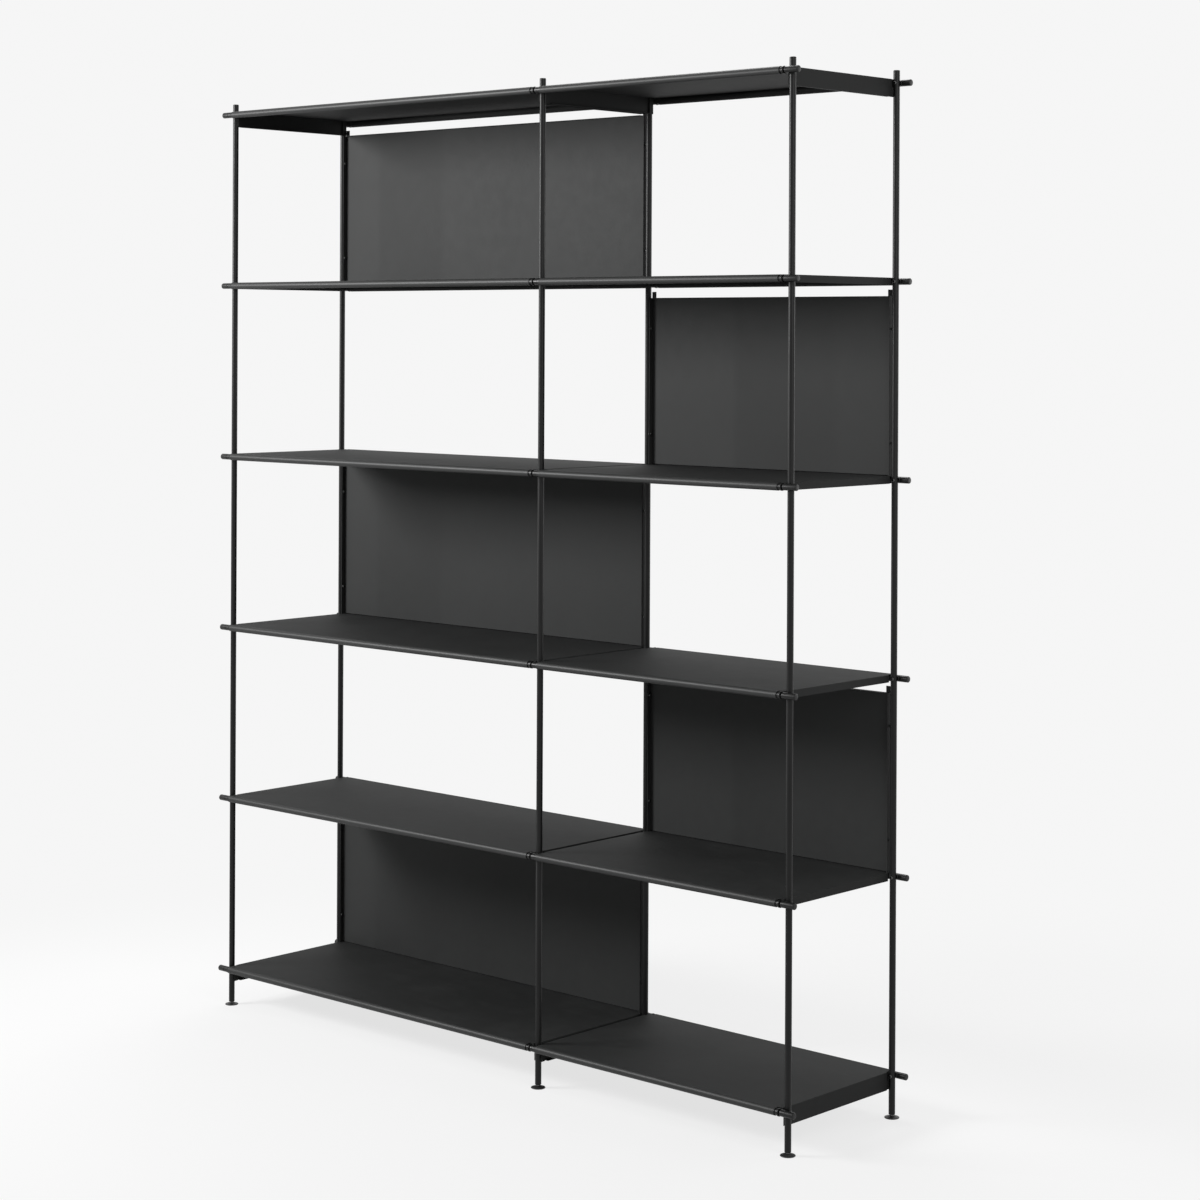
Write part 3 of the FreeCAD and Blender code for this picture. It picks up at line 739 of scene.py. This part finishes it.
@dataclass
class PinJoints:
    """Stub pins, end pins, caps and socket rings at the crossings of every level."""

    bench: Bench
    neck: float = 6.45 * MM
    neck_edge: float = 0.65 * MM
    spigot_dia: float = 10 * MM
    spigot_reach: float = 22.5 * MM
    spigot_edge: float = 1 * MM
    groove_dia: float = 8.6 * MM
    cap_reach: float = 24.5 * MM
    cap_space: float = 0.3 * MM
    tip_round: float = 1.4 * MM
    collar_start: float = 4.5 * MM
    collar_round: float = 1.3 * MM
    collar_end: float = 8 * MM
    shank_grip: float = 30 * MM
    end_run: float = 23 * MM
    ring_bore: float = 10.1 * MM
    ring_start: float = 12 * MM
    ring_stop: float = 8.8 * MM
    ring_round: float = 0.5 * MM
    sleeve_grip: float = 14 * MM
    waist_dia: float = 11.2 * MM

    def _spigot(self) -> list[Corner]:
        """Profile of a pin's spigot, of the groove beside the ring and of the shoulder.

        Returns:
            The corners that stubs and end pins share.
        """
        spigot = self.spigot_dia / 2
        groove = self.groove_dia / 2
        pin = SIZES.pin_dia / 2
        return [
            Corner(-self.spigot_reach, 0.0),
            Corner(-self.spigot_reach, spigot - self.spigot_edge),
            Corner(-self.spigot_reach + self.spigot_edge, spigot),
            Corner(-self.ring_stop, spigot),
            Corner(-self.ring_stop, groove),
            Corner(-self.neck, groove),
            Corner(-self.neck, pin - self.neck_edge),
            Corner(-self.neck + self.neck_edge, pin),
        ]

    def stub_shape(self) -> list[Corner]:
        """Profile of a stub with its collar and shank.

        Returns:
            Its corners.
        """
        roll = SIZES.roll_dia / 2
        pin = SIZES.pin_dia / 2
        return self._spigot() + [
            Corner(self.collar_start, pin),
            Corner(self.collar_start, roll, self.collar_round),
            Corner(self.collar_end, roll),
            Corner(self.collar_end, pin),
            Corner(self.collar_end + self.shank_grip, pin),
            Corner(self.collar_end + self.shank_grip, 0.0),
        ]

    def end_pin_shape(self) -> list[Corner]:
        """Profile of an end pin with its rounded tip."""
        tip = Corner(self.end_run, SIZES.pin_dia / 2, self.tip_round)
        return self._spigot() + [tip, Corner(self.end_run, 0.0)]

    def cap_shape(self) -> list[Corner]:
        """Profile of the cap on a free stub.

        Returns:
            Its corners.
        """
        pin = SIZES.pin_dia / 2
        bore = self.ring_bore / 2
        back = -self.spigot_reach - self.cap_space
        return [
            Corner(-self.cap_reach, 0.0),
            Corner(-self.cap_reach, pin, self.tip_round),
            Corner(-self.neck - self.neck_edge, pin),
            Corner(-self.neck, pin - self.neck_edge),
            Corner(-self.neck, bore),
            Corner(back, bore),
            Corner(back, 0.0),
        ]

    def ring_shape(self) -> list[Corner]:
        """Closed profile of a socket ring with its waist and sleeve.

        Returns:
            Its corners, the first of them again at the end.
        """
        roll = SIZES.roll_dia / 2
        pin = SIZES.pin_dia / 2
        bore = self.ring_bore / 2
        waist = self.waist_dia / 2
        deep = -SIZES.socket_end - self.sleeve_grip
        return [
            Corner(deep, bore),
            Corner(deep, pin),
            Corner(-SIZES.socket_end, pin),
            Corner(-SIZES.socket_end, waist),
            Corner(-self.ring_start, waist),
            Corner(-self.ring_start, roll, self.ring_round),
            Corner(-self.ring_stop, roll, self.ring_round),
            Corner(-self.ring_stop, bore),
            Corner(deep, bore),
        ]

    def _set(self, name: str, shape: Sequence[Corner], crossings: Crossings,
             levels: Sequence[int], finish: Finish, node: str) -> None:
        """One piece with a turned shape at several crossings, turned half round at the rear.

        Args:
            name: the piece's name.
            shape: the profile.
            crossings: upright X and row of each crossing.
            levels: the levels that they are on.
            finish: the finish.
            node: the CAD node that it stands for.
        """
        turner = Turner()
        for level in levels:
            for along, row in crossings:
                made = turner.turn(shape)
                turn = Matrix.Rotation(math.pi if row is Row.REAR else 0.0, 4, "Z")
                spot = (along, row * SIZES.rail_off, SIZES.level_axis(level))
                turner.move(made, Matrix.Translation(spot) @ turn)
        self.bench.finish(name, turner.bm, finish, [node])

    def build(self) -> None:
        """Makes the pins and rings of every level, and the caps of the free ends."""
        left, mid, right = SIZES.columns
        stubs = [(left, Row.FRONT), (mid, Row.FRONT), (mid, Row.REAR), (right, Row.REAR)]
        ends = [(right, Row.FRONT), (left, Row.REAR)]
        for level in EVERY_LEVEL:
            self._set("stub_pins_level_%d" % level, self.stub_shape(), stubs, [level],
                      Finish.PIN, "link_stubs_%d" % level)
            self._set("row_end_pins_level_%d" % level, self.end_pin_shape(), ends, [level],
                      Finish.PIN, "end_pins_%d" % level)
            self._set("rings_level_%d" % level, self.ring_shape(), SIZES.ring_crossings, [level],
                      Finish.RING, "socket_rings_%d" % level)
        self._set("caps_front_left", self.cap_shape(), [(left, Row.FRONT)], EVERY_LEVEL,
                  Finish.PIN, "stub_caps_left")
        self._set("caps_rear_right", self.cap_shape(), [(right, Row.REAR)], EVERY_LEVEL,
                  Finish.PIN, "stub_caps_right")


@dataclass
class EdgeGuards:
    """Ends of the strips folded down behind the rings, carried on past the roll's open end."""

    bench: Bench
    long: float = 9 * MM
    deep: float = 7.5 * MM
    socket_back: float = 4 * MM

    def _strip(self, bm: bmesh.types.BMesh, along: float, row: Row, level: int) -> None:
        """One strip end under the tray.

        Args:
            bm: the mesh that it is added to.
            along: X of the upright beside the ring.
            row: the upright's row.
            level: the level.
        """
        under = SIZES.level_axis(level) + SIZES.roll_dia / 2 - SIZES.sheet / 2
        add_block(bm, (
            along + row * (SIZES.socket_end + self.long / 2),
            row * (SIZES.column_off + self.socket_back - SIZES.sheet / 2),
            under - self.deep / 2,
        ), (self.long, SIZES.sheet, self.deep))

    def build(self) -> None:
        """Makes the strip ends of every level."""
        for level in EVERY_LEVEL:
            bm = bmesh.new()
            for along, row in SIZES.ring_crossings:
                self._strip(bm, along, row, level)
            self.bench.finish("edge_guards_level_%d" % level, bm, Finish.TRAY)


@dataclass
class PanelHems:
    """Hems turned back along the panels' feet and down onto the trays, against stray light."""

    bench: Bench
    reach: float = 6 * MM
    slot: float = 1.5 * MM
    lap: float = 0.1 * MM
    sunk: float = 0.5 * MM
    skin: float = 0.2 * MM

    def _hem(self, bay: PanelledBay, compartment: int) -> None:
        """One hem: a long block whose front is pocketed behind the slot.

        Args:
            bay: the bay.
            compartment: the compartment whose panel gets it, from 1 at the top.
        """
        low = SIZES.tray_top(compartment) - self.sunk
        high = low + self.sunk + self.slot + SIZES.sheet
        face = SIZES.column_off + SIZES.panel_back
        bm = bmesh.new()
        add_block(bm, (
            (bay.left + bay.right) / 2,
            face + (self.reach - self.lap) / 2,
            (low + high) / 2,
        ), (bay.right - bay.left - 2 * SIZES.panel_side, self.reach + self.lap, high - low))
        front = min(bm.faces, key=lambda side: side.calc_center_median().y)
        bmesh.ops.inset_individual(bm, faces=[front], thickness=SIZES.sheet)
        middle = front.calc_center_median().z
        floor = [vert for vert in front.verts if vert.co.z < middle]
        bmesh.ops.translate(bm, vec=(0, 0, self.skin - SIZES.sheet), verts=floor)
        pocket = bmesh.ops.extrude_discrete_faces(bm, faces=[front])["faces"][0]
        inward = self.reach + self.lap - SIZES.sheet
        bmesh.ops.translate(bm, vec=(0, inward, 0), verts=list(pocket.verts))
        bmesh.ops.recalc_face_normals(bm, faces=list(bm.faces))
        self.bench.finish("panel_hem_%s_%d" % (bay.word, compartment), bm, Finish.PANEL)

    def build(self) -> None:
        """Makes the hems of the five panels."""
        for bay in SIZES.panelled_bays:
            for compartment in bay.compartments:
                self._hem(bay, compartment)


@dataclass
class ButtonScrews:
    """Button head screws with a hexagon recess, through the uprights and from the panels."""

    bench: Bench
    steps: int = 24
    shank_dia: float = 4 * MM
    tip_edge: float = 0.3 * MM
    head_dia: float = 7 * MM
    head_high: float = 2.2 * MM
    head_round: float = 1.5 * MM
    face_dia: float = 4.4 * MM
    key_sides: int = 6
    key_wide: float = 2.5 * MM
    key_deep: float = 1.2 * MM
    spot_depth: float = 1.2 * MM
    cross_long: float = 16 * MM
    panel_long: float = 8 * MM
    panel_hole: float = 60 * MM
    panel_hole_in: float = 4.5 * MM

    def _screw(self, turner: Turner, length: float, place: Matrix) -> None:
        """One screw, its head's seat at the origin and its head towards +X.

        Args:
            turner: the mesh that it is added to.
            length: shank under the head.
            place: moves the screw to its place.
        """
        bm = turner.bm
        shank = self.shank_dia / 2
        made = turner.turn([
            Corner(-length, 0.0),
            Corner(-length, shank - self.tip_edge),
            Corner(-length + self.tip_edge, shank),
            Corner(0.0, shank),
            Corner(0.0, self.head_dia / 2),
            Corner(self.head_high, self.head_dia / 2, self.head_round),
            Corner(self.head_high, self.face_dia / 2),
        ])
        rim = {edge for vert in made for edge in vert.link_edges if len(edge.link_faces) == 1}
        top = Matrix.Translation((self.head_high, 0, 0)) @ Matrix.Rotation(math.pi / 2, 4, "Y")
        ring = bmesh.ops.create_circle(bm, cap_ends=False, segments=self.key_sides,
                                       radius=self.key_wide / math.sqrt(3), matrix=top)["verts"]
        key = edges_at(ring)
        bmesh.ops.bridge_loops(bm, edges=list(rim) + key)
        drawn = bmesh.ops.extrude_edge_only(bm, edges=key)["geom"]
        floor = [item for item in drawn if isinstance(item, bmesh.types.BMVert)]
        bmesh.ops.translate(bm, vec=(-self.key_deep, 0, 0), verts=floor)
        bmesh.ops.contextual_create(bm, geom=floor)
        whole = set(made) | set(ring) | set(floor)
        face_outward(bm, whole)
        turner.move(whole, place)

    def _cross(self, name: str, node: str, row: Row) -> None:
        """The screws through one row of uprights, heads facing the middle of the shelving.

        Args:
            name: the piece's name.
            node: the CAD node that it stands for.
            row: the row.
        """
        turner = Turner(self.steps)
        seat = row * (SIZES.column_off - SIZES.upright_dia / 2 + self.spot_depth)
        turn = Matrix.Rotation(-row * math.pi / 2, 4, "Z")
        for level in EVERY_LEVEL:
            for along in SIZES.columns:
                spot = Matrix.Translation((along, seat, SIZES.level_axis(level)))
                self._screw(turner, self.cross_long, spot @ turn)
        self.bench.finish(name, turner.bm, Finish.SCREW, [node])

    def _panels(self) -> None:
        """The screws from the rear panels' folds into the uprights."""
        turner = Turner(self.steps)
        across = SIZES.column_off + SIZES.panel_back - self.panel_hole_in
        inset = SIZES.panel_side + SIZES.sheet
        half_round = Matrix.Rotation(math.pi, 4, "Z")
        for bay in SIZES.panelled_bays:
            for compartment in bay.compartments:
                foot = SIZES.tray_top(compartment)
                for up in (foot + self.panel_hole, foot + SIZES.panel_high - self.panel_hole):
                    left = Matrix.Translation((bay.left + inset, across, up))
                    right = Matrix.Translation((bay.right - inset, across, up))
                    self._screw(turner, self.panel_long, left)
                    self._screw(turner, self.panel_long, right @ half_round)
        self.bench.finish("screws_rear_panels", turner.bm, Finish.SCREW, ["panel_screws"])

    def build(self) -> None:
        """Makes the three sets of screws."""
        self._cross("screws_front_uprights", "fixing_screws_front", Row.FRONT)
        self._cross("screws_rear_uprights", "fixing_screws_rear", Row.REAR)
        self._panels()


@dataclass
class LevellingFeet:
    """Foot pads and threaded studs under the uprights.

    The thread's shares are heights on its tooth, counted in pitches.
    """

    bench: Bench
    pad_dia: float = 27.5 * MM
    pad_high: float = 4.5 * MM
    pad_floor: float = 1.2 * MM
    pad_steps: int = 56
    pad_facets: int = 3
    pad_sharp: float = 24.0
    rim_edge: float = 0.6 * MM
    rim_low: float = 0.5 * MM
    rim_low_round: float = 0.2 * MM
    rim_high: float = 1.5 * MM
    rim_high_round: float = 0.5 * MM
    ridge_in: float = 1.2 * MM
    ridge_high: float = 2.1 * MM
    ridge_round: float = 0.4 * MM
    dip_in: float = 2.2 * MM
    dip_high: float = 1.9 * MM
    dome_in: float = 5.2 * MM
    dome_high: float = 3.0 * MM
    dome_round: float = 1.6 * MM
    neck_dia: float = 10.5 * MM
    neck_round: float = 0.6 * MM
    bore_dia: float = 6.1 * MM
    stud_dia: float = 6.0 * MM
    stud_grip: float = 20.0 * MM
    stud_sharp: float = 30.0
    core_over: float = 0.05 * MM
    core_steps: int = 32
    thread_depth: float = 0.55 * MM
    thread_pitch: float = 1.0 * MM
    thread_steps: int = 24
    thread_start: float = 0.7
    bare_turns: int = 2
    crest_low: float = 0.42
    crest_high: float = 0.54
    tooth_high: float = 0.96

    def _pad(self, word: str, along: float, across: float) -> None:
        """One domed pad with a shallow ring round its rim.

        Args:
            word: the foot's place, in its names.
            along: X of its upright.
            across: Y of its upright.
        """
        half = self.pad_dia / 2
        bore = self.bore_dia / 2
        turner = Turner(self.pad_steps)
        made = turner.turn([
            Corner(0.0, 0.0),
            Corner(0.0, half - self.rim_edge),
            Corner(self.rim_low, half, self.rim_low_round),
            Corner(self.rim_high, half, self.rim_high_round),
            Corner(self.ridge_high, half - self.ridge_in, self.ridge_round),
            Corner(self.dip_high, half - self.dip_in),
            Corner(self.dome_high, half - self.dome_in, self.dome_round),
            Corner(self.pad_high, self.neck_dia / 2, self.neck_round),
            Corner(self.pad_high, bore),
            Corner(self.pad_floor, bore),
            Corner(self.pad_floor, 0.0),
        ], self.pad_facets)
        stand = Matrix.Rotation(-math.pi / 2, 4, "Y")
        turner.move(made, Matrix.Translation((along, across, 0.0)) @ stand)
        node = "foot_pad_" + word
        self.bench.finish("pad_" + word, turner.bm, Finish.PAD, [node], node, self.pad_sharp)

    def _thread(self, bm: bmesh.types.BMesh, low: float, high: float) -> None:
        """Winds the thread round a stud's core.

        Args:
            bm: the stud's mesh.
            low: the core's lower end.
            high: its upper end.
        """
        pitch = self.thread_pitch
        crest = self.stud_dia / 2
        root = crest - self.thread_depth
        start = low + self.thread_start * pitch
        turns = int((high - low) / pitch) - self.bare_turns
        before = set(bm.verts)
        tooth = [
            bm.verts.new((root, 0, start)),
            bm.verts.new((crest, 0, start + self.crest_low * pitch)),
            bm.verts.new((crest, 0, start + self.crest_high * pitch)),
            bm.verts.new((root, 0, start + self.tooth_high * pitch)),
        ]
        edges = [bm.edges.new(pair) for pair in zip(tooth, tooth[1:] + tooth[:1])]
        bmesh.ops.spin(bm, geom=tooth + edges, cent=(0, 0, 0), axis=(0, 0, 1),
                       dvec=(0, 0, pitch / self.thread_steps), angle=2 * math.pi * turns,
                       steps=self.thread_steps * turns, use_merge=False, use_duplicate=False)
        ends = [edge for edge in bm.edges if len(edge.link_faces) == 1]
        bmesh.ops.holes_fill(bm, edges=ends, sides=len(tooth))
        face_outward(bm, [vert for vert in bm.verts if vert not in before])

    def _stud(self, word: str, along: float, across: float) -> None:
        """One stud with a helical thread, from the pad's bore into the upright.

        Args:
            word: the foot's place, in its names.
            along: X of its upright.
            across: Y of its upright.
        """
        low = self.pad_floor
        high = SIZES.upright_lift + self.stud_grip
        core = self.stud_dia / 2 - self.thread_depth + self.core_over
        bm = bmesh.new()
        bmesh.ops.create_cone(bm, cap_ends=True, segments=self.core_steps, radius1=core,
                              radius2=core, depth=high - low,
                              matrix=Matrix.Translation((0, 0, (low + high) / 2)))
        self._thread(bm, low, high)
        bmesh.ops.translate(bm, vec=(along, across, 0.0), verts=list(bm.verts))
        node = "foot_stud_" + word
        self.bench.finish("stud_" + word, bm, Finish.STUD, [node], node, self.stud_sharp)

    def build(self) -> None:
        """Makes the six feet."""
        for row in Row:
            for column, along in zip(("left", "mid", "right"), SIZES.columns):
                word = "%s_%s" % (row.name.lower(), column)
                self._pad(word, along, row * SIZES.column_off)
                self._stud(word, along, row * SIZES.column_off)


# ---- Camera, light and floor ----


@dataclass(frozen=True)
class Viewpoint:
    """The camera: where it stands, how it looks, and its lens."""

    position: tuple[float, float, float] = (3574.7 * MM, -3739.3 * MM, 1425 * MM)
    yaw: float = 0.74005
    roll: float = 0.0047
    lens: float = 78.66
    sensor: float = 36.0
    shift_up: float = -0.2213
    clip: tuple[float, float] = (0.05, 100.0)

    def build(self) -> None:
        """Makes the camera and sets it as the scene's own."""
        data = bpy.data.cameras.new("studio_camera")
        data.sensor_fit = "HORIZONTAL"
        data.sensor_width = self.sensor
        data.lens = self.lens
        data.shift_y = self.shift_up
        data.clip_start, data.clip_end = self.clip
        data.dof.use_dof = False
        camera = add_object("studio_camera", data)
        level = Matrix.Rotation(self.yaw, 4, "Z") @ Matrix.Rotation(math.pi / 2, 4, "X")
        turn = level @ Matrix.Rotation(self.roll, 4, "Z")
        camera.matrix_world = Matrix.Translation(self.position) @ turn
        bpy.context.scene.camera = camera


@dataclass(frozen=True)
class SoftBox:
    """One rectangular studio lamp, its sizes in metres and its power in watts."""

    name: str
    position: tuple[float, float, float]
    target: tuple[float, float, float]
    size: tuple[float, float]
    power: float

    def build(self) -> None:
        """Makes the lamp, turned towards its target."""
        data = bpy.data.lights.new(self.name, "AREA")
        data.shape = "RECTANGLE"
        data.size, data.size_y = self.size
        data.energy = self.power
        lamp = add_object(self.name, data)
        aim = Vector(self.target) - Vector(self.position)
        turn = aim.to_track_quat("-Z", "Y").to_matrix().to_4x4()
        lamp.matrix_world = Matrix.Translation(self.position) @ turn
        lamp.visible_camera = False


@dataclass(frozen=True)
class Studio:
    """Pale floor, pale surroundings and soft lamps."""

    backdrop: float = 0.92
    surround: float = 0.20
    floor_half: float = 30.0
    floor_keep: float = 0.24
    floor_level: float = 0.74
    floor_bounce: float = 0.5
    floor_near: float = 0.9
    floor_far: float = 2.0
    lamps: tuple[SoftBox, ...] = (
        SoftBox("key_soft_box", (-2.2, -2.4, 2.15), (0.0, 0.0, 2.5), (1.2, 1.2), 133.0),
        SoftBox("side_soft_box", (3.6, -1.2, 2.4), (0.0, 0.0, 0.95), (1.6, 2.4), 30.0),
        SoftBox("top_soft_box", (-0.9, 1.0, 3.6), (0.0, 0.0, 0.3), (1.4, 1.4), 34.0),
        SoftBox("rear_soft_box", (2.2, 3.4, 1.5), (0.0, 0.0, 1.0), (2.0, 2.0), 30.0),
    )

    def _world(self) -> None:
        """A pale world that the camera and reflections see as the backdrop."""
        graph = Graph.of_world("studio_world")
        kind = "ShaderNodeBackground"
        lit = graph.node(kind, None, {"Color": WHITE, "Strength": self.surround})
        plain = graph.node(kind, None, {"Color": WHITE, "Strength": self.backdrop})
        shader = graph.blend_shaders(graph.looked_at(), lit, plain)
        bpy.context.scene.world = graph.close(shader)

    def _paper(self) -> bpy.types.Material:
        """The floor's material: it keeps a soft shadow near the feet and fades further out.

        Returns:
            The material.
        """
        graph = Graph.of_material("studio_floor_paper")
        reach = graph.node("ShaderNodeVectorMath", {"operation": "LENGTH"}, {0: graph.place})
        far = Value(graph, reach.outputs["Value"]).above(self.floor_near, self.floor_far)
        glow = graph.node("ShaderNodeEmission", None, {
            "Color": WHITE,
            "Strength": self.backdrop - self.floor_keep * self.floor_level,
        })
        skin = graph.node("ShaderNodeBsdfDiffuse", None, {"Color": grey(self.floor_keep)})
        near = graph.node("ShaderNodeAddShader", None, {0: glow.outputs[0], 1: skin.outputs[0]})
        plain = graph.node("ShaderNodeEmission", None, {"Color": WHITE, "Strength": self.backdrop})
        bounce = graph.node("ShaderNodeBsdfDiffuse", None, {"Color": grey(self.floor_bounce)})
        seen = graph.blend_shaders(far, near, plain)
        return graph.close(graph.blend_shaders(graph.looked_at(), bounce, seen))

    def _floor(self) -> None:
        """A wide pale floor that keeps the shelving's shadow and fades into the backdrop."""
        bm = bmesh.new()
        bmesh.ops.create_grid(bm, x_segments=1, y_segments=1, size=self.floor_half)
        floor = add_object("studio_floor", mesh_from("studio_floor", bm))
        floor.data.materials.append(self._paper())

    def build(self) -> None:
        """Makes the world, the floor and the lamps."""
        self._world()
        self._floor()
        for lamp in self.lamps:
            lamp.build()


def main() -> None:
    """Builds the scene."""
    logging.basicConfig(level=logging.INFO, format="%(name)s: %(message)s")
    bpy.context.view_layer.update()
    bpy.context.scene.view_settings.view_transform = "Standard"
    shop = FinishShop()
    shop.coat_nodes()
    bench = Bench(shop)
    PinJoints(bench).build()
    EdgeGuards(bench).build()
    PanelHems(bench).build()
    ButtonScrews(bench).build()
    LevellingFeet(bench).build()
    Viewpoint().build()
    Studio().build()
    LOG.info("scene is complete")


if __name__ == "__main__":
    main()
